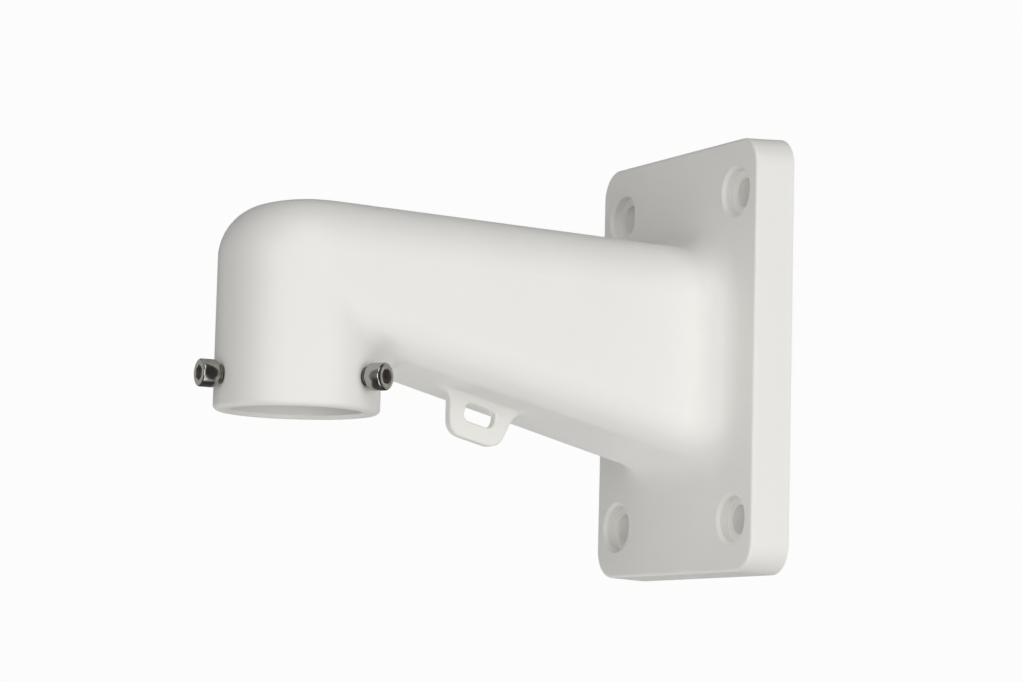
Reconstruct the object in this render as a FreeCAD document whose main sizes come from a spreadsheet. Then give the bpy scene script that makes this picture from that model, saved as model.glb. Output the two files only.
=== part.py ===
import FreeCAD, Part
import math
import os
import Sketcher
from types import SimpleNamespace
from FreeCAD import Placement, Rotation, Vector

# Camera wall bracket: one aluminium casting (wall plate, hollow arm, elbow, collar for the
# camera's spigot, safety-rope ear) and three socket-head lock screws round the collar.
# Frame: +Z up, origin at the centre of the wall plate's back face, the wall at Y = 0,
# the arm reaching out along -Y, X across. The casting is the same on both sides of X = 0.

os.makedirs("parts", exist_ok=True)
doc = FreeCAD.newDocument("camera_wall_bracket")

# Driving sizes, in millimetres and degrees
SIZES = [
    ("plate_width", 114.0, "wall plate across its back"),
    ("plate_height", 163.0, "wall plate, top to bottom, at its back"),
    ("plate_depth", 16.0, "wall plate, front to back"),
    ("plate_draft", 2.6, "lean of the plate's four sides"),
    ("plate_corner", 11.0, "radius of the plate's corners"),
    ("plate_edge", 1.2, "rounding of the plate's front edge"),
    ("plate_skin", 5.0, "front wall of the plate over the back recess"),
    ("plate_rim", 5.0, "side wall of the plate round the back recess"),
    ("bolt_from_side", 15.3, "wall bolt's axis in from the plate's side"),
    ("bolt_from_end", 20.25, "wall bolt's axis in from the plate's top or bottom"),
    ("bolt_hole", 11.0, "diameter of a wall bolt hole"),
    ("bolt_seat", 17.4, "diameter of the sunk seat of a bolt head"),
    ("bolt_seat_depth", 4.6, "depth of the sunk seat"),
    ("bolt_seat_edge", 1.2, "bevel round the seat's rim"),
    ("bolt_boss", 25.0, "diameter of the boss behind a bolt hole"),
    ("rib_width", 4.0, "thickness of the ribs in the back recess"),
    ("rib_drop", 2.0, "how far the ribs stay under the wall plane"),
    ("reach", 174.0, "wall to the collar's axis"),
    ("collar_outside", 60.0, "outside diameter of the collar and elbow"),
    ("collar_bore", 48.6, "bore for the camera's spigot"),
    ("collar_low", 29.3, "collar's rim under the middle of the plate"),
    ("bore_depth", 36.0, "depth of the machined bore, up to its ledge"),
    ("rim_outer_edge", 2.0, "rounding outside the collar's rim"),
    ("rim_inner_edge", 1.2, "bevel inside the collar's rim"),
    ("arm_top", 47.0, "top of the arm at the collar's axis"),
    ("arm_top_fall", 1.85, "fall of the arm's top towards the wall"),
    ("elbow_bend", 117.0, "radius with which the top bends down over the elbow"),
    ("elbow_bend_start", 8.0, "where that bend starts, behind the collar's axis"),
    ("arm_under_drop", 1.4, "arm's underside at the collar's axis, under the middle"),
    ("arm_under_slope", 13.7, "slope of the underside towards the wall"),
    ("arm_root_width", 72.0, "width of the arm where it meets the plate"),
    ("arm_top_round", 20.3, "rounding along the top of the arm and over the elbow"),
    ("arm_under_round", 14.0, "rounding along the underside"),
    ("arm_root_fillet", 10.0, "fillet between the arm and the plate"),
    ("collar_fillet", 8.0, "fillet between the collar and the underside"),
    ("arm_wall", 5.0, "wall of the arm at the plate"),
    ("passage_width", 44.6, "cable passage across, at the elbow"),
    ("passage_round", 16.0, "corner radius inside the arm, at the top"),
    ("passage_under_round", 9.0, "corner radius inside the arm, at the bottom"),
    ("ear_out", 99.1, "wall to the middle of the rope ear's root"),
    ("ear_length", 28.7, "length of the ear's root"),
    ("ear_drop", 16.1, "height of the ear below the underside"),
    ("ear_draft", 13.5, "lean of the ear's two ends"),
    ("ear_thick", 4.4, "thickness of the ear"),
    ("ear_corner", 6.2, "radius of the ear's lower corners"),
    ("ear_root_flare", 7.0, "radius of the flare at each end of the ear's root"),
    ("ear_root_fillet", 1.5, "fillet round the foot of the ear"),
    ("ear_edge", 0.8, "rounding of the ear's edges"),
    ("slot_length", 13.0, "rope slot along the ear"),
    ("slot_height", 7.0, "rope slot up and down"),
    ("slot_drop", 6.2, "middle of the slot under the ear's root"),
    ("slot_corner", 2.8, "corner radius of the slot"),
    ("slot_edge", 0.5, "bevel of the slot's rims"),
    ("cable_hole", 10.0, "cable hole in the plate's bottom"),
    ("screw_rise", 11.8, "lock screws above the collar's rim"),
    ("screw_head", 10.0, "diameter of a screw's head"),
    ("screw_head_height", 6.0, "height of a screw's head"),
    ("screw_head_edge", 0.6, "chamfer round the head"),
    ("screw_thread", 6.0, "outside diameter of the thread"),
    ("screw_length", 8.0, "length under the head"),
    ("screw_tip", 0.8, "chamfer at the tip"),
    ("screw_key", 5.0, "hexagon key across its flats"),
    ("screw_key_depth", 3.0, "depth of the hexagon socket"),
    ("screw_backed_out", 2.4, "gap left between a head and the collar"),
    ("thread_play", 0.05, "gap all round between a screw and its tapped hole"),
    ("tap_mouth", 0.6, "chamfer at the mouth of a tapped hole"),
]
sheet = doc.addObject("Spreadsheet::Sheet", "Sizes")
for row, (alias, value, meaning) in enumerate(SIZES, start=1):
    sheet.set(f"A{row}", meaning)
    sheet.set(f"B{row}", str(value))
    sheet.setAlias(f"B{row}", alias)
doc.recompute()

# Where each lock screw points, in degrees round the collar from +X
SCREW_SIDES = {"front": -90.0, "right": 30.0, "left": 150.0}
# Which side of the middle each wall bolt is on, across and up
BOLT_SIDES = [(-1, -1), (1, -1), (1, 1), (-1, 1)]
# How far forms that are joined or cut run into one another
BURIED = 2.0
# The collar's blend ends this far before the collar's sides
BLEND_STOP = 0.15
# The hollow's floor lies this much above the bore's ledge
LEDGE_RISE = 0.8


class Size:
    """A number together with the sheet formula that drives it."""

    def __init__(self, value, formula):
        self.value = value
        self.formula = formula

    def __add__(self, other):
        other = as_size(other)
        return Size(self.value + other.value, f"({self.formula} + {other.formula})")

    def __sub__(self, other):
        other = as_size(other)
        return Size(self.value - other.value, f"({self.formula} - {other.formula})")

    def __mul__(self, other):
        other = as_size(other)
        return Size(self.value * other.value, f"({self.formula} * {other.formula})")

    def __truediv__(self, other):
        other = as_size(other)
        return Size(self.value / other.value, f"({self.formula} / {other.formula})")

    def __neg__(self):
        return self * -1


def as_size(number):
    return number if isinstance(number, Size) else Size(float(number), f"({number})")


def sine(angle):
    return Size(math.sin(math.radians(angle.value)), f"sin({angle.formula})")


def cosine(angle):
    return Size(math.cos(math.radians(angle.value)), f"cos({angle.formula})")


def tangent(angle):
    return Size(math.tan(math.radians(angle.value)), f"tan({angle.formula})")


def square_root(number):
    return Size(math.sqrt(number.value), f"sqrt({number.formula})")


S = SimpleNamespace(**{alias: Size(value, f"Sizes.{alias}") for alias, value, _ in SIZES})

# Places worked out from the driving sizes
COLLAR_R = S.collar_outside / 2
BORE_R = S.collar_bore / 2
PASSAGE_R = S.passage_width / 2
LEDGE_Z = S.bore_depth - S.collar_low
SCREW_Z = S.screw_rise - S.collar_low
SKIN_MIDDLE = S.plate_depth - S.plate_skin / 2
RECESS_DEPTH = S.plate_depth - S.plate_skin
# The hollow's inner end is this much smaller than the roof over the bore, which it enters
HOLLOW_INSET = S.passage_round / 10


def bind(feature, name, size):
    """Tie one property of a feature to the sheet."""
    feature.setExpression(name, as_size(size).formula)


def sketch_on(body, role, name, shift=(0, 0, 0)):
    """A sketch on one of the body's own planes, moved in that plane's own axes."""
    sketch = body.newObject("Sketcher::SketchObject", name)
    plane = next(f for f in body.Origin.OriginFeatures if f.Role == role)
    sketch.AttachmentSupport = [(plane, "")]
    sketch.MapMode = "FlatFace"
    for axis, distance in zip("xyz", shift):
        bind(sketch, f"AttachmentOffset.Base.{axis}", distance)
    return sketch


def pin(sketch, index, end, point, name):
    """Hold one point of a sketch at a place given by the sheet."""
    for kind, letter, size in zip(("DistanceX", "DistanceY"), "xy", map(as_size, point)):
        number = sketch.addConstraint(Sketcher.Constraint(kind, -1, 1, index, end, size.value))
        sketch.renameConstraint(number, f"{name}{letter}")
        bind(sketch, f"Constraints.{name}{letter}", size)


def set_radius(sketch, index, size, name):
    number = sketch.addConstraint(Sketcher.Constraint("Radius", index, as_size(size).value))
    sketch.renameConstraint(number, name)
    bind(sketch, f"Constraints.{name}", size)


def spot(point):
    return Vector(*(as_size(size).value for size in point), 0)


def add_outline(sketch, points, tag="p"):
    """A closed outline of straight lines through the points."""
    first = sketch.GeometryCount
    count = len(points)
    for i, point in enumerate(points):
        sketch.addGeometry(Part.LineSegment(spot(point), spot(points[(i + 1) % count])))
    for i, point in enumerate(points):
        sketch.addConstraint(Sketcher.Constraint("Coincident", first + i, 2, first + (i + 1) % count, 1))
        pin(sketch, first + i, 1, point, f"{tag}{i}")


def add_circle(sketch, centre, radius, tag):
    index = sketch.addGeometry(Part.Circle(spot(centre), Vector(0, 0, 1), as_size(radius).value))
    pin(sketch, index, 3, centre, tag)
    set_radius(sketch, index, radius, f"{tag}r")


def add_rounded_box(sketch, left, right, low, high, radii, tag="b"):
    """A box with rounded corners; radii start at the lower left and go round by the right."""
    first = sketch.GeometryCount
    corners = [(left, low, 1, 1), (right, low, -1, 1), (right, high, -1, -1), (left, high, 1, -1)]
    centres = []
    for (x, y, to_x, to_y), radius in zip(corners, radii):
        centres.append((as_size(x) + as_size(radius) * to_x, as_size(y) + as_size(radius) * to_y))
    for i, (centre, radius) in enumerate(zip(centres, radii)):
        start = math.radians(180 + 90 * i)
        circle = Part.Circle(spot(centre), Vector(0, 0, 1), as_size(radius).value)
        sketch.addGeometry(Part.ArcOfCircle(circle, start, start + math.pi / 2))
    for i in range(4):
        begin = sketch.Geometry[first + i].EndPoint
        finish = sketch.Geometry[first + (i + 1) % 4].StartPoint
        sketch.addGeometry(Part.LineSegment(begin, finish))
    for i, (centre, radius) in enumerate(zip(centres, radii)):
        pin(sketch, first + i, 3, centre, f"{tag}{i}")
        set_radius(sketch, first + i, radius, f"{tag}{i}r")
        sketch.addConstraint(Sketcher.Constraint("Tangent", first + i, 2, first + 4 + i, 1))
        sketch.addConstraint(Sketcher.Constraint("Tangent", first + 4 + i, 2, first + (i + 1) % 4, 1))


def feature(body, kind, name, profile=None, **settings):
    """One feature of a body; sizes are bound to the sheet, anything else is set as it is."""
    made = body.newObject(f"PartDesign::{kind}", name)
    if profile is not None:
        made.Profile = (profile, [""])
    for key, setting in settings.items():
        if isinstance(setting, Size):
            bind(made, key, setting)
        else:
            setattr(made, key, setting)
    doc.recompute()
    return made


def edge_names(base, wanted):
    """Names of the edges whose middle point and shape pass a test."""
    names = []
    for number, edge in enumerate(base.Shape.Edges, start=1):
        middle = edge.valueAt((edge.FirstParameter + edge.LastParameter) / 2)
        if wanted(middle, edge):
            names.append(f"Edge{number}")
    return names


def round_edges(body, name, wanted, radius):
    base = body.Tip
    return feature(body, "Fillet", name, Base=(base, edge_names(base, wanted)), Radius=as_size(radius))


def bevel_edges(body, name, wanted, width):
    base = body.Tip
    return feature(body, "Chamfer", name, Base=(base, edge_names(base, wanted)), Size=as_size(width))


def near(number, size, slack=0.05):
    return abs(number - as_size(size).value) < slack


def arm_top_at(y):
    return S.arm_top - (as_size(y) + S.reach) * tangent(S.arm_top_fall)


def arm_under_at(y):
    return -S.arm_under_drop - (as_size(y) + S.reach) * tangent(S.arm_under_slope)


def from_axis(point):
    """Distance of a point from the collar's axis."""
    return math.hypot(point.x, point.y + S.reach.value)


# The arm: from above a half circle round the collar's axis whose sides widen to the plate,
# from the side a nearly level top and a sloping underside, with its long edges rounded
arm = doc.addObject("PartDesign::Body", "arm_form")
plan = sketch_on(arm, "XY_Plane", "arm_plan")
root_corners = [(S.arm_root_width / 2, -SKIN_MIDDLE), (-S.arm_root_width / 2, -SKIN_MIDDLE)]
nose = Part.Circle(spot((0, -S.reach)), Vector(0, 0, 1), COLLAR_R.value)
plan.addGeometry(Part.ArcOfCircle(nose, math.radians(182), math.radians(358)))
plan.addGeometry(Part.LineSegment(plan.Geometry[0].EndPoint, spot(root_corners[0])))
plan.addGeometry(Part.LineSegment(spot(root_corners[0]), spot(root_corners[1])))
plan.addGeometry(Part.LineSegment(spot(root_corners[1]), plan.Geometry[0].StartPoint))
plan.addConstraint(Sketcher.Constraint("Tangent", 0, 2, 1, 1))
plan.addConstraint(Sketcher.Constraint("Coincident", 1, 2, 2, 1))
plan.addConstraint(Sketcher.Constraint("Coincident", 2, 2, 3, 1))
plan.addConstraint(Sketcher.Constraint("Tangent", 3, 2, 0, 1))
pin(plan, 0, 3, (0, -S.reach), "axis")
set_radius(plan, 0, COLLAR_R, "nose")
pin(plan, 2, 1, root_corners[0], "right")
pin(plan, 2, 2, root_corners[1], "left")
feature(arm, "Pad", "arm_block", plan, SideType="Symmetric", Length=S.plate_height)
past_nose = -(S.reach + S.collar_outside)
past_plate = S.plate_height
under = sketch_on(arm, "YZ_Plane", "arm_underside")
add_outline(under, [
    (past_nose, arm_under_at(past_nose)),
    (0, arm_under_at(0)),
    (0, -past_plate),
    (past_nose, -past_plate),
])
feature(arm, "Pocket", "arm_under_cut", under, SideType="Symmetric", Type="ThroughAll")

# The top is nearly level and bends down a little over the elbow
bend_y = S.elbow_bend_start - S.reach
bend_centre = (
    bend_y - S.elbow_bend * sine(S.arm_top_fall),
    arm_top_at(bend_y) - S.elbow_bend * cosine(S.arm_top_fall),
)
over = sketch_on(arm, "YZ_Plane", "arm_topside")
bend_circle = Part.Circle(spot(bend_centre), Vector(0, 0, 1), S.elbow_bend.value)
bend = Part.ArcOfCircle(bend_circle, math.radians(90 - S.arm_top_fall.value), math.radians(125))
over_corners = [(0, arm_top_at(0)), (0, past_plate), (past_nose, past_plate)]
over.addGeometry(bend)
over.addGeometry(Part.LineSegment(bend.StartPoint, spot(over_corners[0])))
over.addGeometry(Part.LineSegment(spot(over_corners[0]), spot(over_corners[1])))
over.addGeometry(Part.LineSegment(spot(over_corners[1]), spot(over_corners[2])))
over.addGeometry(Part.LineSegment(spot(over_corners[2]), bend.EndPoint))
over.addConstraint(Sketcher.Constraint("Tangent", 0, 1, 1, 1))
for meeting in ((1, 2, 2, 1), (2, 2, 3, 1), (3, 2, 4, 1), (4, 2, 0, 2)):
    over.addConstraint(Sketcher.Constraint("Coincident", *meeting))
pin(over, 0, 3, bend_centre, "bend")
set_radius(over, 0, S.elbow_bend, "bend_r")
for number, corner in enumerate(over_corners):
    pin(over, number + 2, 1, corner, f"corner{number}")
over.addConstraint(Sketcher.Constraint("Vertical", 4))
feature(arm, "Pocket", "arm_top_cut", over, SideType="Symmetric", Type="ThroughAll")


def bend_fall(y):
    """How far the bend brings the top down at a place, as a plain number."""
    past_start = max(0.0, bend_y.value - y)
    return S.elbow_bend.value - math.sqrt(S.elbow_bend.value ** 2 - past_start ** 2)


def along_top(p, edge):
    before_plate = p.y < -SKIN_MIDDLE.value - 1
    return before_plate and near(p.z, arm_top_at(p.y) - bend_fall(p.y), 0.5)


def along_underside(p, edge):
    before_plate = p.y < -SKIN_MIDDLE.value - 1
    return before_plate and near(p.z, arm_under_at(p.y), 0.5)


round_edges(arm, "arm_top_rounding", along_top, S.arm_top_round)
round_edges(arm, "arm_under_rounding", along_underside, S.arm_under_round)

# The collar: a round boss under the arm's nose, its seam at the nose
nose_from_bend = COLLAR_R + S.elbow_bend_start
nose_fall = S.elbow_bend - square_root(S.elbow_bend * S.elbow_bend - nose_from_bend * nose_from_bend)
collar = doc.addObject("Part::Cylinder", "collar_form")
bind(collar, "Radius", COLLAR_R)
bind(collar, "Height", S.collar_low + S.arm_top - nose_fall - S.arm_top_round - BURIED)
collar.Placement = Placement(Vector(), Rotation(Vector(0, 0, 1), -90))
bind(collar, "Placement.Base.y", -S.reach)
bind(collar, "Placement.Base.z", -S.collar_low)


def combine(kind, name, *shapes):
    made = doc.addObject(f"Part::{kind}", name)
    made.Base, made.Tool = shapes
    if kind == "Fuse":
        made.Refine = True
    doc.recompute()
    return made


arm_and_collar = combine("Fuse", "arm_and_collar", arm, collar)

# The blend between the collar and the underside. It runs out before the collar's sides,
# where the two surfaces come to touch, so it is made on the middle of the form alone
middle = doc.addObject("Part::Box", "middle_of_the_form")
half_middle = COLLAR_R - BLEND_STOP
bind(middle, "Length", half_middle * 2)
bind(middle, "Width", S.reach + S.collar_outside)
bind(middle, "Height", S.plate_height * 2)
bind(middle, "Placement.Base.x", -half_middle)
bind(middle, "Placement.Base.y", past_nose)
bind(middle, "Placement.Base.z", -S.plate_height)
middle_arm = combine("Common", "middle_arm", arm, middle)
middle_collar = combine("Common", "middle_collar", collar, middle)
middle_form = combine("Fuse", "middle_form", middle_arm, middle_collar)
blend = doc.addObject("PartDesign::Body", "collar_blend")
blend.BaseFeature = middle_form
doc.recompute()


def on_crease(p, edge):
    beside = abs(p.x) < half_middle.value - 0.05
    behind = p.y > -S.reach.value
    above_rim = p.z > 1 - S.collar_low.value
    return beside and behind and above_rim and near(from_axis(p), COLLAR_R, 0.1)


round_edges(blend, "crease_rounding", on_crease, S.collar_fillet)
outer_form = combine("Fuse", "outer_form", arm_and_collar, blend)

# The rope ear hangs under the arm: a flat tab whose ends lean in and flare out at the root.
# Its sketches lie along the underside: x towards the wall, y up and away from the ear
def ear_sketch(body, name):
    sketch = sketch_on(body, "YZ_Plane", name)
    sketch.AttachmentOffset = Placement(Vector(), Rotation(Vector(0, 0, -1), S.arm_under_slope.value))
    bind(sketch, "AttachmentOffset.Base.x", -S.ear_out)
    bind(sketch, "AttachmentOffset.Base.y", arm_under_at(-S.ear_out))
    bind(sketch, "AttachmentOffset.Rotation.Angle", S.arm_under_slope)
    return sketch


ear_form = doc.addObject("PartDesign::Body", "ear_form")
ear = ear_sketch(ear_form, "ear_outline")
lean = sine(S.ear_draft)
upright = cosine(S.ear_draft)
half_ear = S.ear_length / 2
flare_y = -S.ear_root_flare
flare_shift = upright - (as_size(1) - lean) * tangent(S.ear_draft)
flare_x = half_ear + S.ear_root_flare * flare_shift
corner_y = S.ear_corner - S.ear_drop
corner_x = half_ear + corner_y * tangent(S.ear_draft) - S.ear_corner / upright
buried_x = flare_x + S.ear_root_flare
buried_y = as_size(BURIED)
first_turn = {1: (-90, -S.ear_draft.value), -1: (180 + S.ear_draft.value, 270)}
for number, side_x in enumerate((1, -1)):
    corner = Part.Circle(spot((corner_x * side_x, corner_y)), Vector(0, 0, 1), S.ear_corner.value)
    ear.addGeometry(Part.ArcOfCircle(corner, *map(math.radians, first_turn[side_x])))
for side_x, turn in ((1, (110, 180 - S.ear_draft.value)), (-1, (S.ear_draft.value, 70))):
    flare = Part.Circle(spot((flare_x * side_x, flare_y)), Vector(0, 0, 1), S.ear_root_flare.value)
    ear.addGeometry(Part.ArcOfCircle(flare, *map(math.radians, turn)))
parts = ear.Geometry
ear.addGeometry(Part.LineSegment(parts[1].EndPoint, parts[0].StartPoint))
ear.addGeometry(Part.LineSegment(parts[0].EndPoint, parts[2].EndPoint))
ear.addGeometry(Part.LineSegment(parts[2].StartPoint, spot((buried_x, buried_y))))
ear.addGeometry(Part.LineSegment(spot((buried_x, buried_y)), spot((-buried_x, buried_y))))
ear.addGeometry(Part.LineSegment(spot((-buried_x, buried_y)), parts[3].EndPoint))
ear.addGeometry(Part.LineSegment(parts[3].StartPoint, parts[1].StartPoint))
for meeting in ((4, 2, 0, 1), (5, 1, 0, 2), (5, 2, 2, 2), (6, 1, 2, 1)):
    ear.addConstraint(Sketcher.Constraint("Tangent", *meeting))
for meeting in ((4, 1, 1, 2), (9, 2, 1, 1), (9, 1, 3, 1), (8, 2, 3, 2)):
    ear.addConstraint(Sketcher.Constraint("Tangent", *meeting))
ear.addConstraint(Sketcher.Constraint("Coincident", 6, 2, 7, 1))
ear.addConstraint(Sketcher.Constraint("Coincident", 7, 2, 8, 1))
for index, point, radius, name in (
    (0, (corner_x, corner_y), S.ear_corner, "right_corner"),
    (1, (-corner_x, corner_y), S.ear_corner, "left_corner"),
    (2, (flare_x, flare_y), S.ear_root_flare, "right_flare"),
    (3, (-flare_x, flare_y), S.ear_root_flare, "left_flare"),
):
    pin(ear, index, 3, point, name)
    set_radius(ear, index, radius, f"{name}_r")
pin(ear, 7, 1, (buried_x, buried_y), "right_end")
pin(ear, 7, 2, (-buried_x, buried_y), "left_end")
feature(ear_form, "Pad", "ear_tab", ear, SideType="Symmetric", Length=S.ear_thick)


def ear_outline(p, edge):
    """The outline on the ear's two faces, up to a little inside the arm."""
    return near(abs(p.x), S.ear_thick / 2) and p.z < arm_under_at(p.y).value + BURIED / 2


round_edges(ear_form, "ear_edges", ear_outline, S.ear_edge)
arm_with_ear = combine("Fuse", "arm_with_ear", outer_form, ear_form)

# The casting starts from the outer form and gains the wall plate
casting = doc.addObject("PartDesign::Body", "bracket_casting")
casting.BaseFeature = arm_with_ear
doc.recompute()
plate = sketch_on(casting, "XZ_Plane", "plate_outline")
half_w, half_h = S.plate_width / 2, S.plate_height / 2
add_outline(plate, [(-half_w, -half_h), (half_w, -half_h), (half_w, half_h), (-half_w, half_h)])
feature(casting, "Pad", "wall_plate", plate, Length=S.plate_depth, TaperAngle=-S.plate_draft)
draft_at_front = S.plate_depth * tangent(S.plate_draft)
front_w, front_h = half_w - draft_at_front, half_h - draft_at_front


def plate_corner(p, edge):
    return near(p.y, -S.plate_depth / 2, 0.5) and abs(p.x) > front_w.value and abs(p.z) > front_h.value


def plate_front(p, edge):
    """The outline of the plate's front face, its corner arcs included."""
    inset = 0.4 * S.plate_corner.value
    outside = abs(p.x) > front_w.value - inset or abs(p.z) > front_h.value - inset
    return near(p.y, -S.plate_depth) and outside


def arm_root(p, edge):
    return near(p.y, -S.plate_depth) and not plate_front(p, edge)


round_edges(casting, "plate_corners", plate_corner, S.plate_corner)
round_edges(casting, "arm_root_fillet", arm_root, S.arm_root_fillet)
round_edges(casting, "plate_front_edge", plate_front, S.plate_edge)


def ear_foot(p, edge):
    """Where the ear meets the underside."""
    beside = abs(p.x) < S.ear_thick.value and abs(p.y + S.ear_out.value) < S.ear_length.value
    return beside and near(p.z, arm_under_at(p.y), 0.02)


round_edges(casting, "ear_foot_fillet", ear_foot, S.ear_root_fillet)
slot = ear_sketch(casting, "rope_slot_outline")
half_slot = S.slot_length / 2
slot_low, slot_high = -S.slot_drop - S.slot_height / 2, -S.slot_drop + S.slot_height / 2
add_rounded_box(slot, -half_slot, half_slot, slot_low, slot_high, [S.slot_corner] * 4)
feature(casting, "Pocket", "rope_slot", slot, SideType="Symmetric", Length=S.ear_thick * 2)


def slot_rim(p, edge):
    """The slot's outline on the ear's two faces, found in the ear's own directions."""
    slope = math.radians(S.arm_under_slope.value)
    out, up = p.y + S.ear_out.value, p.z - arm_under_at(-S.ear_out).value
    across = out * math.cos(slope) - up * math.sin(slope)
    above = out * math.sin(slope) + up * math.cos(slope)
    in_length = abs(across) < half_slot.value + 0.01
    in_height = slot_low.value - 0.01 < above < slot_high.value + 0.01
    return near(abs(p.x), S.ear_thick / 2, 0.001) and in_length and in_height


# The back of the plate: a recess with a boss behind each bolt hole and a rib from each boss
# to the arm's root, all cast in one
back = sketch_on(casting, "XZ_Plane", "recess_outline")
recess_w, recess_h = half_w - S.plate_rim, half_h - S.plate_rim
recess_corners = [S.plate_corner - S.plate_rim] * 4
add_rounded_box(back, -recess_w, recess_w, -recess_h, recess_h, recess_corners)
feature(casting, "Pocket", "back_recess", back, Length=RECESS_DEPTH, Reversed=True)
bolt_w, bolt_h = half_w - S.bolt_from_side, half_h - S.bolt_from_end
bolt_places = [(bolt_w * to_x, bolt_h * to_z) for to_x, to_z in BOLT_SIDES]
bosses = sketch_on(casting, "XZ_Plane", "boss_circles")
for number, place in enumerate(bolt_places):
    add_circle(bosses, place, S.bolt_boss / 2, f"boss{number}_")
feature(casting, "Pad", "bolt_bosses", bosses, Length=RECESS_DEPTH + BURIED / 2)

# The hollow inside the arm, with the same sides as the arm, one wall thinner
mouth_y = -(RECESS_DEPTH - BURIED / 2)
roof = S.arm_top - S.arm_wall
mouth_w = S.arm_root_width / 2 - S.arm_wall
floor_gap = S.arm_wall / cosine(S.arm_under_slope)


def hollow_half_width(y):
    """Half the hollow's width at a place between the collar's axis and the plate."""
    share = (as_size(y) + S.reach) / (mouth_y + S.reach)
    return PASSAGE_R + (mouth_w - PASSAGE_R) * share


def hollow_section(name, y, floor, inset=0.0):
    sketch = sketch_on(casting, "XZ_Plane", name, (0, 0, -as_size(y)))
    half = hollow_half_width(y) - inset
    ceiling = arm_top_at(y) - S.arm_wall - inset
    radii = [S.passage_under_round] * 2 + [S.passage_round - inset] * 2
    add_rounded_box(sketch, -half, half, floor, ceiling, radii)
    return sketch


lip_y = BORE_R - S.reach
behind_collar_y = COLLAR_R + S.arm_wall - S.reach
lip_z = LEDGE_Z + LEDGE_RISE
floor_at_plate = arm_under_at(mouth_y) + floor_gap
floor_behind_collar = arm_under_at(behind_collar_y) + floor_gap
sections = [
    hollow_section("hollow_at_plate", mouth_y, floor_at_plate),
    hollow_section("hollow_behind_collar", behind_collar_y, floor_behind_collar),
    hollow_section("hollow_at_lip", lip_y, lip_z),
    hollow_section("hollow_at_axis", -S.reach, lip_z, HOLLOW_INSET),
]
further = [(section, [""]) for section in sections[1:]]
hollow = feature(casting, "SubtractiveLoft", "arm_hollow", sections[0], Ruled=True, Sections=further)

# Over the collar the hollow turns down: a roof that steps in twice, the passage, a ledge and
# the bore for the spigot with its bevelled rim
profile = sketch_on(casting, "YZ_Plane", "bore_profile", (-S.reach, 0, 0))
roof_flat = PASSAGE_R - S.passage_round
roof_low = roof - S.passage_round
roof_step = S.passage_round * cosine(as_size(45))
past_rim = S.rim_inner_edge + BURIED
add_outline(profile, [
    (0, roof),
    (0, -S.collar_low - BURIED),
    (BORE_R + past_rim, -S.collar_low - BURIED),
    (BORE_R, S.rim_inner_edge - S.collar_low),
    (BORE_R, LEDGE_Z),
    (PASSAGE_R, LEDGE_Z),
    (PASSAGE_R, roof_low),
    (roof_flat + roof_step, roof_low + roof_step),
    (roof_flat, roof),
])
bore = feature(casting, "Groove", "spigot_bore", profile, ReferenceAxis=(profile, ["V_Axis"]), Angle=360)

# Ribs behind the front wall, from each boss towards the nearest corner of the hollow
ribs = sketch_on(casting, "XZ_Plane", "rib_outlines", (0, 0, S.rib_drop))
mouth_low = arm_under_at(mouth_y) + floor_gap
mouth_high = arm_top_at(mouth_y) - S.arm_wall
for number, ((to_x, to_z), (bolt_x, bolt_z)) in enumerate(zip(BOLT_SIDES, bolt_places)):
    turn = S.passage_round if to_z > 0 else S.passage_under_round
    corner_x = (mouth_w - turn) * to_x
    corner_z = mouth_high - turn if to_z > 0 else mouth_low + turn
    step_x, step_z = bolt_x - corner_x, bolt_z - corner_z
    length = square_root(step_x * step_x + step_z * step_z)
    along_x, along_z = step_x / length, step_z / length
    side_x, side_z = along_z * S.rib_width / 2, -along_x * S.rib_width / 2
    inner = turn + S.rib_width / 2
    near_x, near_z = corner_x + along_x * inner, corner_z + along_z * inner
    outline = [
        (near_x - side_x, near_z - side_z),
        (near_x + side_x, near_z + side_z),
        (bolt_x + side_x, bolt_z + side_z),
        (bolt_x - side_x, bolt_z - side_z),
    ]
    add_outline(ribs, outline, f"rib{number}_")
feature(casting, "Pad", "back_ribs", ribs, Length=RECESS_DEPTH - S.rib_drop + BURIED / 2)

# Bolt holes, sunk from the front for washers or bolt heads
holes = sketch_on(casting, "XZ_Plane", "bolt_hole_circles")
for number, place in enumerate(bolt_places):
    add_circle(holes, place, S.bolt_hole / 2, f"hole{number}_")
feature(casting, "Pocket", "bolt_holes", holes, Length=S.plate_depth + BURIED, Reversed=True)
seats = sketch_on(casting, "XZ_Plane", "bolt_seat_circles", (0, 0, S.plate_depth))
for number, place in enumerate(bolt_places):
    add_circle(seats, place, S.bolt_seat / 2, f"seat{number}_")
feature(casting, "Pocket", "bolt_seats", seats, Length=S.bolt_seat_depth)


def is_ring(edge, radius):
    return edge.Curve.TypeId == "Part::GeomCircle" and near(edge.Curve.Radius, radius)


def seat_rim(p, edge):
    return near(p.y, -S.plate_depth) and is_ring(edge, S.bolt_seat / 2)


def collar_rim(p, edge):
    return near(p.z, -S.collar_low) and is_ring(edge, COLLAR_R)


bevel_edges(casting, "bolt_seat_rims", seat_rim, S.bolt_seat_edge)
round_edges(casting, "collar_rim_outside", collar_rim, S.rim_outer_edge)
bevel_edges(casting, "rope_slot_rims", slot_rim, S.slot_edge)

# The cable hole, up through the plate's bottom wall into the recess
cable = sketch_on(casting, "XY_Plane", "cable_hole_circle", (0, 0, -half_h - BURIED / 2))
add_circle(cable, (0, -S.plate_depth / 2), S.cable_hole / 2, "hole")
feature(casting, "Pocket", "cable_hole", cable, Length=S.plate_rim + BURIED, Reversed=True)

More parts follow.
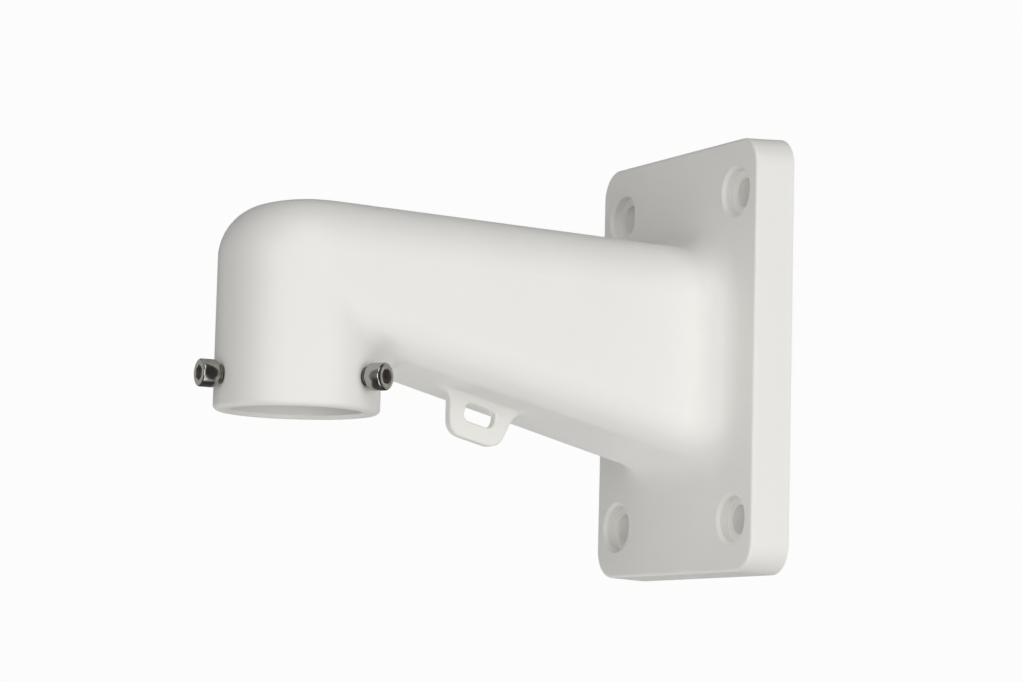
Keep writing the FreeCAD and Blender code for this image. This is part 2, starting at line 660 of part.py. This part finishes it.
# Tapped holes for the lock screws, all three alike round the collar
tap_r = S.screw_thread / 2 + S.thread_play
tap = sketch_on(casting, "YZ_Plane", "tapped_hole_profile", (-S.reach, SCREW_Z, 0))
tap_outside = COLLAR_R + BURIED
mouth_out = S.tap_mouth + BURIED
tap_points = [
    (-tap_outside, 0),
    (-(BORE_R - BURIED), 0),
    (-(BORE_R - BURIED), tap_r),
    (-(COLLAR_R - S.tap_mouth), tap_r),
    (-tap_outside, tap_r + mouth_out),
]
add_outline(tap, tap_points)
front_hole = feature(casting, "Groove", "tapped_hole", tap, ReferenceAxis=(tap, ["H_Axis"]), Angle=360)
ring = sketch_on(casting, "XY_Plane", "screw_ring", (0, -S.reach, 0))
add_circle(ring, (0, 0), COLLAR_R, "ring")
pattern = feature(
    casting, "PolarPattern", "tapped_holes",
    Originals=[front_hole], Axis=(ring, ["N_Axis"]), Angle=360, Occurrences=len(SCREW_SIDES)
)
casting.Tip = pattern
doc.recompute()
casting.Label = "bracket_casting"


# A lock screw: a socket head on a short threaded shank with a bevelled tip.
# Its own origin is under the head, on its axis, with the head upwards
def lock_screw(side, angle):
    body = doc.addObject("PartDesign::Body", f"lock_screw_{side}")
    profile = sketch_on(body, "XZ_Plane", f"{side}_profile")
    head_r, shank_r = S.screw_head / 2, S.screw_thread / 2
    add_outline(profile, [
        (0, -S.screw_length),
        (shank_r - S.screw_tip, -S.screw_length),
        (shank_r, S.screw_tip - S.screw_length),
        (shank_r, 0),
        (head_r, 0),
        (head_r, S.screw_head_height - S.screw_head_edge),
        (head_r - S.screw_head_edge, S.screw_head_height),
        (0, S.screw_head_height),
    ])
    feature(body, "Revolution", f"{side}_turned", profile, ReferenceAxis=(profile, ["V_Axis"]), Angle=360)
    key = sketch_on(body, "XY_Plane", f"{side}_key_outline", (0, 0, S.screw_head_height))
    key_r = S.screw_key / 2 / cosine(as_size(30))
    turns = [as_size(60 * number) for number in range(6)]
    add_outline(key, [(key_r * cosine(turn), key_r * sine(turn)) for turn in turns])
    feature(body, "Pocket", f"{side}_key_socket", key, Length=S.screw_key_depth)
    outwards = Rotation(Vector(0, 0, 1), angle) * Rotation(Vector(0, 1, 0), 90)
    body.Placement = Placement(Vector(), outwards)
    out = COLLAR_R + S.screw_backed_out
    bearing = as_size(angle)
    bind(body, "Placement.Base.x", out * cosine(bearing))
    bind(body, "Placement.Base.y", out * sine(bearing) - S.reach)
    bind(body, "Placement.Base.z", SCREW_Z)
    doc.recompute()
    body.Label = f"lock_screw_{side}"
    return body


nodes = [casting] + [lock_screw(side, angle) for side, angle in SCREW_SIDES.items()]

# Checks before anything is written
for item in doc.Objects:
    if "Invalid" in item.State or "Error" in item.State:
        raise RuntimeError(f"{item.Name} failed: {item.State}")
for node in nodes:
    if node.Shape.isNull() or not node.Shape.isValid() or len(node.Shape.Solids) != 1:
        raise RuntimeError(f"{node.Label} is not one valid solid")
for cut in (hollow, bore, front_hole, pattern):
    if cut.Shape.Volume >= cut.BaseFeature.Shape.Volume:
        raise RuntimeError(f"{cut.Name} removes nothing")
for node in nodes:
    node.Shape.exportStep(f"parts/{node.Label}.step")
    print(node.Label, round(node.Shape.Volume), "mm3")
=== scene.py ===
import math

import bpy
from mathutils import Matrix, Vector


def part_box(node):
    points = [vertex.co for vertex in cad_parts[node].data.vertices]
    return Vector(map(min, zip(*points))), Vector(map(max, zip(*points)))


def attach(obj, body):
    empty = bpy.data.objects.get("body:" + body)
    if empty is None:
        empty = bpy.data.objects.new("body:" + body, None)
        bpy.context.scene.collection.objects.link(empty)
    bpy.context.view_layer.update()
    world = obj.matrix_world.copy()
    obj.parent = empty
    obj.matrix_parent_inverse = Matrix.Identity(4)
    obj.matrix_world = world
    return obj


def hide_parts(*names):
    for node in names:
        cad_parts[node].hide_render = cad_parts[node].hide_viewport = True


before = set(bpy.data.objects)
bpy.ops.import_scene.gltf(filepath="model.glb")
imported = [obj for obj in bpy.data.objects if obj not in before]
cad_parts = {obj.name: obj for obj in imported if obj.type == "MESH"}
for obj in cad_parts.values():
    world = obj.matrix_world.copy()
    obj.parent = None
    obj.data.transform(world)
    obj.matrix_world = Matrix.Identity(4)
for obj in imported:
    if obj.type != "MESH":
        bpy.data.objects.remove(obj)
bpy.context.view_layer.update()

# A camera wall bracket: the casting comes from the frame and gets its powder coat, and its three
# lock screws are made anew with threads, key sockets and polished steel. Lengths are in metres,
# the wall is at Y = 0, the arm reaches out along -Y, and +Z is up.
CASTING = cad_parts["bracket_casting"]
MM = 0.001

# Where each lock screw points, round the collar from +X, and its turn about itself, in degrees
SCREW_STANDS = {"front": (-90.0, 0.0), "right": (30.0, 30.0), "left": (150.0, 15.0)}
# The front screw's box gives the places and sizes that all three share
SCREW_LOW, SCREW_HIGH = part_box("lock_screw_front")
HEAD_RADIUS = (SCREW_HIGH.x - SCREW_LOW.x) / 2
SCREW_RISE = (SCREW_HIGH.z + SCREW_LOW.z) / 2
HEAD_HEIGHT = 6.0 * MM
SHANK_LENGTH = SCREW_HIGH.y - SCREW_LOW.y - HEAD_HEIGHT
COLLAR_AXIS_Y = -174.0 * MM
# From the collar's axis out to the underside of the head
HEAD_SEAT = COLLAR_AXIS_Y - SCREW_LOW.y - HEAD_HEIGHT

# The rest of an M6 socket-head screw
THREAD_RADIUS = 2.98 * MM
THREAD_DEPTH = 0.55 * MM
THREAD_PITCH = 1.0 * MM
# The flat crest takes this share of a pitch, and so does the flat root
CREST_SHARE = 1 / 6
TIP_RADIUS = 2.2 * MM
NECK_RADIUS = 2.35 * MM
NECK_LENGTH = 0.5 * MM
# How steeply the thread rises from the neck, and the fillet between neck and head
NECK_SLOPE = 2.0
NECK_FILLET = 0.15 * MM
WASHER_FACE_RADIUS = 4.75 * MM
# The head's two edges: millimetres in from its side, and millimetres from its seat or its top
SEAT_EDGE = ((0.04, 0.12), (0.0, 0.3))
TOP_EDGE = ((0.0, 0.7), (0.06, 0.43), (0.22, 0.2), (0.45, 0.05), (0.7, 0.0))
KEY_FLATS = 6
KEY_RADIUS = 2.5 * MM
KEY_MOUTH_RADIUS = 2.95 * MM
KEY_MOUTH_SLOPE = 0.18
KEY_DEPTH = 3.0 * MM
KEY_DRILL_DEPTH = 3.9 * MM

# How finely the screws are made, and from what angle, in degrees, an edge of theirs is sharp
ROUND_STEPS = 48
ROWS_PER_TURN = 12
SHARP_EDGE = 34
# Two radii that differ by less are one, and points that are nearer than a seam are joined
HAIR = 0.01 * MM
SEAM = 0.002 * MM


def put(name, data):
    """A new object in the scene, at the origin."""
    made = bpy.data.objects.new(name, data)
    bpy.context.scene.collection.objects.link(made)
    return made


def named(sockets, name):
    return next(socket for socket in sockets if socket.name == name and socket.enabled)


class Field:
    """An output in a node tree; sums and the like with it add the nodes for them."""

    def __init__(self, tree, socket):
        self.tree = tree
        self.socket = socket

    def feed(self, target):
        self.tree.links.new(self.socket, target)

    def math(self, operation, *others):
        node = self.tree.nodes.new("ShaderNodeMath")
        node.operation = operation
        for socket, value in zip(node.inputs, (self, *others)):
            give(value, socket)
        return Field(self.tree, node.outputs[0])

    def __add__(self, other):
        return self.math("ADD", other)

    def __sub__(self, other):
        return self.math("SUBTRACT", other)

    def __mul__(self, other):
        return self.math("MULTIPLY", other)

    def __truediv__(self, other):
        return self.math("DIVIDE", other)

    def between(self, low, high):
        return self.math("MAXIMUM", low).math("MINIMUM", high)


def give(value, socket):
    """Feed a socket from a field, or write a plain value into it."""
    if isinstance(value, Field):
        value.feed(socket)
    else:
        socket.default_value = value


def add(tree, kind, feeds=None, output=None, **settings):
    """One node with its settings and its named inputs; the answer is one of its outputs."""
    node = tree.nodes.new(kind)
    for key, value in settings.items():
        setattr(node, key, value)
    for name, value in (feeds or {}).items():
        give(value, named(node.inputs, name))
    usable = [socket for socket in node.outputs if socket.enabled]
    return Field(tree, named(usable, output) if output else usable[0])


def add_several(tree, kind, outputs, feeds=None):
    """One node, of which several outputs are wanted."""
    node = add(tree, kind, feeds).socket.node
    return [Field(tree, named(node.outputs, name)) for name in outputs]


def new_material(name):
    """A material, its node tree and its shader's inputs."""
    material = bpy.data.materials.new(name)
    material.use_nodes = True
    tree = material.node_tree
    return material, tree, tree.nodes["Principled BSDF"].inputs


def spots(tree, scale, detail=2.0, place=None):
    """Soft cloudy noise; scale is how many spots fit in a metre."""
    place = place or add(tree, "ShaderNodeTexCoord", output="Object")
    return add(tree, "ShaderNodeTexNoise", {"Vector": place, "Scale": scale, "Detail": detail})


def spread(tree, field, low, high):
    """A field from 0 to 1 as one from low to high."""
    return add(tree, "ShaderNodeMapRange", {"Value": field, "To Min": low, "To Max": high})


def tint(tree, field, dark, light):
    """A colour between two, each of them plain or a field."""
    dark, light = (end if isinstance(end, Field) else (*end, 1.0) for end in (dark, light))
    return add(tree, "ShaderNodeMix", {"Factor": field, "A": dark, "B": light}, data_type="RGBA")


def raised(tree, field, depth, under=None):
    """The normal of a surface raised by a field, over another such normal if there is one."""
    feeds = {"Height": field, "Strength": 1.0, "Distance": depth}
    if under:
        feeds["Normal"] = under
    return add(tree, "ShaderNodeBump", feeds)


# The powder coat: spots to the metre and their height, for its orange peel and its slow swell
PEEL_SPOTS = 620.0
PEEL_HEIGHT = 0.025 * MM
SWELL_SPOTS = 45.0
SWELL_HEIGHT = 0.05 * MM
COAT_COLOURS = (0.808, 0.799, 0.766), (0.831, 0.821, 0.789)
COAT_ROUGHNESS = 0.38, 0.48
COAT_SPECULAR = 0.4


def powder_coat():
    """White satin powder coat: a faint orange peel over the slow swell of the casting."""
    material, tree, coat = new_material("powder_coat")
    peel = spots(tree, PEEL_SPOTS)
    swell = spots(tree, SWELL_SPOTS)
    tint(tree, swell, *COAT_COLOURS).feed(coat["Base Color"])
    spread(tree, peel, *COAT_ROUGHNESS).feed(coat["Roughness"])
    raised(tree, peel, PEEL_HEIGHT, raised(tree, swell, SWELL_HEIGHT)).feed(coat["Normal"])
    coat["Specular IOR Level"].default_value = COAT_SPECULAR
    return material


# The steel: lines and clouds to the metre, and what its key sockets have in place of the polish
TURNING_LINES = 9000.0
TURNING_DETAIL = 3.0
TURNING_HEIGHT = 0.003 * MM
STEEL_CLOUDS = 400.0
STEEL_COLOURS = (0.36, 0.35, 0.325), (0.44, 0.43, 0.40)
STEEL_ROUGHNESS = 0.11, 0.21
KEY_SOCKET_COLOUR = (0.46, 0.43, 0.395)
KEY_SOCKET_ROUGHER = 0.25


def polished_steel():
    """Stainless steel with the fine lines of turning round each screw, and a duller key socket."""
    material, tree, steel = new_material("polished_steel")
    along = add(tree, "ShaderNodeAttribute", output="Fac", attribute_name="turning")
    across = add(tree, "ShaderNodeCombineXYZ", {"X": along})
    lines = spots(tree, TURNING_LINES, TURNING_DETAIL, across)
    inside = add(tree, "ShaderNodeAttribute", output="Fac", attribute_name="key_socket")
    turned = tint(tree, spots(tree, STEEL_CLOUDS), *STEEL_COLOURS)
    tint(tree, inside, turned, KEY_SOCKET_COLOUR).feed(steel["Base Color"])
    roughness = spread(tree, lines, *STEEL_ROUGHNESS) + inside * KEY_SOCKET_ROUGHER
    roughness.feed(steel["Roughness"])
    raised(tree, lines, TURNING_HEIGHT).feed(steel["Normal"])
    steel["Metallic"].default_value = 1.0
    return material


def wear(piece, material):
    """The piece gets this material and no other."""
    piece.data.materials.clear()
    piece.data.materials.append(material)


# The head's outline from the neck round to the bottom of the key socket: radius, height
HEAD_OUTLINE = [
    (NECK_RADIUS, -NECK_LENGTH),
    (NECK_RADIUS, -NECK_FILLET),
    (NECK_RADIUS + NECK_FILLET, 0.0),
    (WASHER_FACE_RADIUS, 0.0),
    *((HEAD_RADIUS - inwards * MM, up * MM) for inwards, up in SEAT_EDGE),
    *((HEAD_RADIUS - inwards * MM, HEAD_HEIGHT - down * MM) for inwards, down in TOP_EDGE),
    (KEY_MOUTH_RADIUS, HEAD_HEIGHT),
    (KEY_RADIUS, HEAD_HEIGHT - KEY_MOUTH_SLOPE * (KEY_MOUTH_RADIUS - KEY_RADIUS)),
    (KEY_RADIUS, HEAD_HEIGHT - KEY_DEPTH),
    (0.0, HEAD_HEIGHT - KEY_DRILL_DEPTH),
]


def turned_skin(tree, rows, shape):
    """A grid round the Z axis; shape gives radius, height and key socket or not from turn and way."""
    steps = {"Vertices X": ROUND_STEPS + 1, "Vertices Y": rows}
    grid, flat = add_several(tree, "GeometryNodeMeshGrid", ("Mesh", "UV Map"), steps)
    turn, way = add_several(tree, "ShaderNodeSeparateXYZ", ("X", "Y"), {"Vector": flat})
    radius, height, inside = shape(turn, way)
    angle = turn * math.tau
    round_axis = {"X": radius * angle.math("COSINE"), "Y": radius * angle.math("SINE"), "Z": height}
    place = add(tree, "ShaderNodeCombineXYZ", round_axis)
    skin = add(tree, "GeometryNodeSetPosition", {"Geometry": grid, "Position": place})
    kept = {"data_type": "FLOAT", "domain": "POINT"}
    for name, value in (("turning", radius + height), ("key_socket", inside)):
        lines = {"Geometry": skin, "Name": name, "Value": value}
        skin = add(tree, "GeometryNodeStoreNamedAttribute", lines, **kept)
    return skin


# What the screw's tree takes as named inputs: the sizes that all screws share, and the rest
SCREW_SIZES = {
    "Thread radius": THREAD_RADIUS,
    "Thread depth": THREAD_DEPTH,
    "Pitch": THREAD_PITCH,
    "Length": SHANK_LENGTH,
    "Neck length": NECK_LENGTH,
    "Tip radius": TIP_RADIUS,
    "Neck radius": NECK_RADIUS,
    "Head height": HEAD_HEIGHT,
    "Key radius": KEY_RADIUS,
    "Key depth": KEY_DEPTH,
    "Key mouth slope": KEY_MOUTH_SLOPE,
}
SCREW_INPUTS = {
    "Outline": "Geometry",
    **dict.fromkeys(SCREW_SIZES, "Float"),
    "Bearing": "Float",
    "Turn": "Float",
    "Head seat": "Vector",
    "Steel": "Material",
}


def lock_screw_tree():
    """Makes a socket-head screw from its head's outline and a thread's sizes, and sets it in place."""
    tree = bpy.data.node_groups.new("lock_screw", "GeometryNodeTree")
    for name, kind in SCREW_INPUTS.items():
        tree.interface.new_socket(name, in_out="INPUT", socket_type=f"NodeSocket{kind}")
    tree.interface.new_socket("Screw", in_out="OUTPUT", socket_type="NodeSocketGeometry")
    entry = tree.nodes.new("NodeGroupInput")
    size = {socket.name: Field(tree, socket) for socket in entry.outputs if socket.name}

    def thread(turn, way):
        """Each row of the grid climbs one pitch in a turn, so crests and roots follow the helix."""
        low = size["Length"] * -1
        high = size["Neck length"] * -1
        start = low - size["Pitch"]
        row = way * (high - start) + start
        height = (row + turn * size["Pitch"]).between(low, high)
        wave = (row / size["Pitch"]).math("PINGPONG", 0.5) * 2
        flank = ((wave - CREST_SHARE) * (1 / (1 - 2 * CREST_SHARE))).between(0, 1)
        radius = size["Thread radius"] - size["Thread depth"] * flank
        at_tip = size["Tip radius"] + height - low
        at_neck = (high - height) * NECK_SLOPE + size["Neck radius"]
        return radius.math("MINIMUM", at_tip).math("MINIMUM", at_neck), height, 0.0

    def head(turn, way):
        """The outline turned, with the key socket's rings drawn out to a hexagon."""
        index = (way * (len(HEAD_OUTLINE) - 1)).math("ROUND")
        where = add(tree, "GeometryNodeInputPosition")
        sampled = {"Geometry": size["Outline"], "Value": where, "Index": index}
        point = add(tree, "GeometryNodeSampleIndex", sampled, data_type="FLOAT_VECTOR", domain="POINT")
        radius, height = add_several(tree, "ShaderNodeSeparateXYZ", ("X", "Z"), {"Vector": point})
        one_flat = math.tau / KEY_FLATS
        from_flat = (turn * math.tau).math("MODULO", one_flat) - one_flat / 2
        corner = from_flat.math("COSINE").math("POWER", -1.0) - 1
        narrow = radius.math("LESS_THAN", size["Key radius"] + HAIR)
        in_socket = height.math("GREATER_THAN", 0.0) * narrow
        drawn = radius * corner * in_socket
        mouth = height.math("GREATER_THAN", size["Head height"] - size["Key depth"] * 0.5)
        return radius + drawn, height + drawn * mouth * size["Key mouth slope"], in_socket

    rows = (size["Length"] - size["Neck length"] + size["Pitch"]) / size["Pitch"] * ROWS_PER_TURN + 1
    joined = tree.nodes.new("GeometryNodeJoinGeometry")
    turned_skin(tree, rows.math("ROUND"), thread).feed(joined.inputs[0])
    turned_skin(tree, len(HEAD_OUTLINE), head).feed(joined.inputs[0])
    rim = {"Vertices": ROUND_STEPS, "Radius": size["Tip radius"]}
    disc = add(tree, "GeometryNodeMeshCircle", rim, fill_type="NGON")
    tip = add(tree, "GeometryNodeFlipFaces", {"Mesh": disc})
    drop = add(tree, "ShaderNodeCombineXYZ", {"Z": size["Length"] * -1})
    add(tree, "GeometryNodeTransform", {"Geometry": tip, "Translation": drop}).feed(joined.inputs[0])
    seams = {"Geometry": Field(tree, joined.outputs[0]), "Distance": SEAM}
    closed = add(tree, "GeometryNodeMergeByDistance", seams)
    spin = add(tree, "ShaderNodeCombineXYZ", {"Z": size["Turn"]})
    turned = add(tree, "GeometryNodeTransform", {"Geometry": closed, "Rotation": spin})

    outwards = add(tree, "ShaderNodeCombineXYZ", {"Y": math.tau / 4, "Z": size["Bearing"]})
    point = add(tree, "GeometryNodePoints", {"Count": 1, "Position": size["Head seat"]})
    standing = {"Points": point, "Instance": turned, "Rotation": outwards}
    placed = add(tree, "GeometryNodeInstanceOnPoints", standing)
    solid = add(tree, "GeometryNodeRealizeInstances", {"Geometry": placed})
    finished = add(tree, "GeometryNodeSetMaterial", {"Geometry": solid, "Material": size["Steel"]})
    finished.feed(tree.nodes.new("NodeGroupOutput").inputs["Screw"])
    return tree


def screw_mesh(tree, inputs):
    """What the screw's tree makes of the head's outline and its named inputs, as a plain mesh."""
    outline = bpy.data.meshes.new("head_outline")
    points = [(radius, 0.0, height) for radius, height in HEAD_OUTLINE]
    outline.from_pydata(points, [(i, i + 1) for i in range(len(points) - 1)], [])
    blank = put("screw_blank", outline)
    modifier = blank.modifiers.new("screw", "NODES")
    modifier.node_group = tree
    for socket in tree.interface.items_tree:
        if socket.name in inputs:
            modifier[socket.identifier] = inputs[socket.name]
    evaluated = blank.evaluated_get(bpy.context.evaluated_depsgraph_get())
    mesh = bpy.data.meshes.new_from_object(evaluated)
    bpy.data.objects.remove(blank)
    mesh.shade_smooth()
    mesh.set_sharp_from_angle(angle=math.radians(SHARP_EDGE))
    return mesh


def lock_screw(side, tree, steel):
    """One lock screw on its own bearing round the collar, in place of the plain one."""
    bearing, turn = map(math.radians, SCREW_STANDS[side])
    out = Vector((math.cos(bearing), math.sin(bearing), 0.0))
    seat = Vector((0.0, COLLAR_AXIS_Y, SCREW_RISE)) + out * HEAD_SEAT
    stand = {"Bearing": bearing, "Turn": turn, "Head seat": tuple(seat), "Steel": steel}
    piece = put(f"{side}_lock_screw", screw_mesh(tree, {**SCREW_SIZES, **stand}))
    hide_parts(f"lock_screw_{side}")
    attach(piece, f"screw_{side}")


wear(CASTING, powder_coat())
screw_tree = lock_screw_tree()
screw_steel = polished_steel()
for side in SCREW_STANDS:
    lock_screw(side, screw_tree, screw_steel)

# Where the camera stands, its turns in degrees, its lens in millimetres, and how far it sees
STAND = Vector((1.06982, -0.66485, -0.13612))
AZIMUTH, ELEVATION, ROLL = 61.617, -6.528, 1.407
LENS = 115.645
SENSOR_WIDTH = 36.0
SIGHT_END = 20.0
# Half a pixel of the frame's width
HALF_PIXEL = 0.5 / 1023


def camera():
    """The photograph's view: the camera looks along the azimuth and elevation, and then rolls."""
    data = bpy.data.cameras.new("camera")
    data.sensor_width = SENSOR_WIDTH
    data.lens = LENS
    data.shift_x, data.shift_y = -HALF_PIXEL, HALF_PIXEL
    data.clip_end = SIGHT_END
    az, el, roll = map(math.radians, (AZIMUTH, ELEVATION, ROLL))
    back = Vector((math.sin(az) * math.cos(el), -math.cos(az) * math.cos(el), math.sin(el)))
    right = (-back).cross(Vector((0, 0, 1))).normalized()
    up = right.cross(-back)
    level = Matrix((right, up, back)).transposed().to_4x4()
    view = put("camera", data)
    view.matrix_world = Matrix.Translation(STAND) @ level @ Matrix.Rotation(roll, 4, "Z")
    bpy.context.scene.camera = view


# Softboxes round the bracket: place, width and height in metres, power in watts
SOFTBOXES = {
    "high_side": ((1.188, -0.556, 1.273), (1.2, 1.2), 8.3),
    "side_back": ((1.597, 0.481, 0.0), (1.0, 1.0), 11.0),
    "side_front": ((1.032, -1.574, 0.0), (1.2, 1.2), 10.1),
    "low_side": ((0.726, -0.379, -0.778), (0.9, 0.9), 3.6),
    "far": ((-1.553, -0.997, 0.157), (1.2, 1.2), 1.9),
    "low_far": ((-0.778, -0.1, -0.778), (0.9, 0.9), 5.1),
    "behind": ((-1.3, 1.15, 0.28), (1.2, 1.2), 16.0),
}
# These fill shadows only: steel mirrors the dark studio where they stand
UNMIRRORED = {"side_back", "low_far", "behind"}
AIM = Vector((0.0, -0.10, 0.0))


def softbox(name, place, size, power):
    """A rectangular lamp that faces the bracket."""
    data = bpy.data.lights.new(name, "AREA")
    data.shape = "RECTANGLE"
    data.size, data.size_y = size
    data.energy = power
    made = put(name, data)
    made.visible_glossy = name not in UNMIRRORED
    back = Vector(place) - AIM
    made.matrix_world = Matrix.Translation(place) @ back.to_track_quat("Z", "Y").to_matrix().to_4x4()


# The even light from all round, and the plain backdrop behind the bracket
AMBIENT = 0.15
BACKDROP = (0.975, 0.975, 0.973)
# The grey studio that steel mirrors: a wall's strength, and the axes of the ray's direction along
# which it fades in, with the slope of each fade and its level at the middle
STUDIO_WALLS = {
    "ceiling": (0.55, {"Z": (2.5, -1.25), "X": (-3.0, 1.2)}),
    "front_wall": (0.25, {"Y": (-1.5, -0.6), "Z": (2.0, 1.0)}),
    "near_strip": (0.6, {"Z": (-6.0, -4.3), "X": (5.0, -0.7)}),
    "far_wall": (0.15, {"X": (-0.7, 0.0)}),
}
STUDIO_DARKEST = 0.055


def mixed(tree, share, first, second):
    """Two shaders mixed, with this share of the second."""
    node = tree.nodes.new("ShaderNodeMixShader")
    for socket, field in zip(node.inputs, (share, first, second)):
        field.feed(socket)
    return Field(tree, node.outputs[0])


def surroundings():
    """Even light from all round, a plain near-white backdrop, and for steel a grey studio."""
    world = bpy.data.worlds.new("studio")
    world.use_nodes = True
    tree = world.node_tree
    light = add(tree, "ShaderNodeBackground", {"Color": (AMBIENT, AMBIENT, AMBIENT, 1.0)})
    backdrop = add(tree, "ShaderNodeBackground", {"Color": (*BACKDROP, 1.0)})
    way = add(tree, "ShaderNodeTexCoord", output="Generated")
    along = dict(zip("XYZ", add_several(tree, "ShaderNodeSeparateXYZ", "XYZ", {"Vector": way})))
    grey = STUDIO_DARKEST
    for strength, fades in STUDIO_WALLS.values():
        wall = strength
        for axis, (slope, level) in fades.items():
            wall = (along[axis] * slope + level).between(0, 1) * wall
        grey = wall + grey
    studio = add(tree, "ShaderNodeBackground", {"Color": grey})
    rays = ("Is Camera Ray", "Is Glossy Ray", "Is Transmission Ray")
    from_camera, from_gloss, through = add_several(tree, "ShaderNodeLightPath", rays)
    unseen = mixed(tree, from_gloss, light, studio)
    seen = mixed(tree, from_camera.math("MAXIMUM", through), unseen, backdrop)
    seen.feed(tree.nodes["World Output"].inputs["Surface"])
    bpy.context.scene.world = world


FLOOR_LEVEL = -1.60
FLOOR_HALF = 4.0
FLOOR_SPOTS = 3.0
FLOOR_COLOURS = (0.64, 0.64, 0.64), (0.68, 0.68, 0.68)
FLOOR_ROUGHNESS = 0.9
# The floor runs into the backdrop between these distances from its middle, where it glows this much
FLOOR_FADE = (0.6, 3.4)
FLOOR_GLOW = 0.7


def floor():
    """A pale floor far below the bracket, so that it can be looked at from below as well."""
    mesh = bpy.data.meshes.new("floor")
    turns = ((-1, -1), (1, -1), (1, 1), (-1, 1))
    corners = [(FLOOR_HALF * x, FLOOR_HALF * y, FLOOR_LEVEL) for x, y in turns]
    mesh.from_pydata(corners, [], [(0, 1, 2, 3)])
    made = put("floor", mesh)
    material, tree, pale = new_material("pale_floor")
    tint(tree, spots(tree, FLOOR_SPOTS), *FLOOR_COLOURS).feed(pale["Base Color"])
    pale["Roughness"].default_value = FLOOR_ROUGHNESS
    near, far = FLOOR_FADE
    place = add(tree, "ShaderNodeTexCoord", output="Object")
    middle = add(tree, "ShaderNodeCombineXYZ", {"Z": FLOOR_LEVEL})
    away = add(tree, "ShaderNodeVectorMath", {"Vector": place}, "Value", operation="DISTANCE")
    middle.feed(away.socket.node.inputs[1])
    glow = ((away - near) / (far - near)).between(0, 1) * (1 - FLOOR_GLOW) + FLOOR_GLOW
    seen = add(tree, "ShaderNodeLightPath", output="Is Camera Ray") * glow
    lit = Field(tree, tree.nodes["Principled BSDF"].outputs[0])
    white = add(tree, "ShaderNodeEmission", {"Color": (*BACKDROP, 1.0)})
    mixed(tree, seen, lit, white).feed(tree.nodes["Material Output"].inputs["Surface"])
    wear(made, material)
    made.visible_glossy = False


camera()
floor()
surroundings()
for name, (place, size, power) in SOFTBOXES.items():
    softbox(name, place, size, power)
bpy.context.scene.view_settings.view_transform = "Standard"
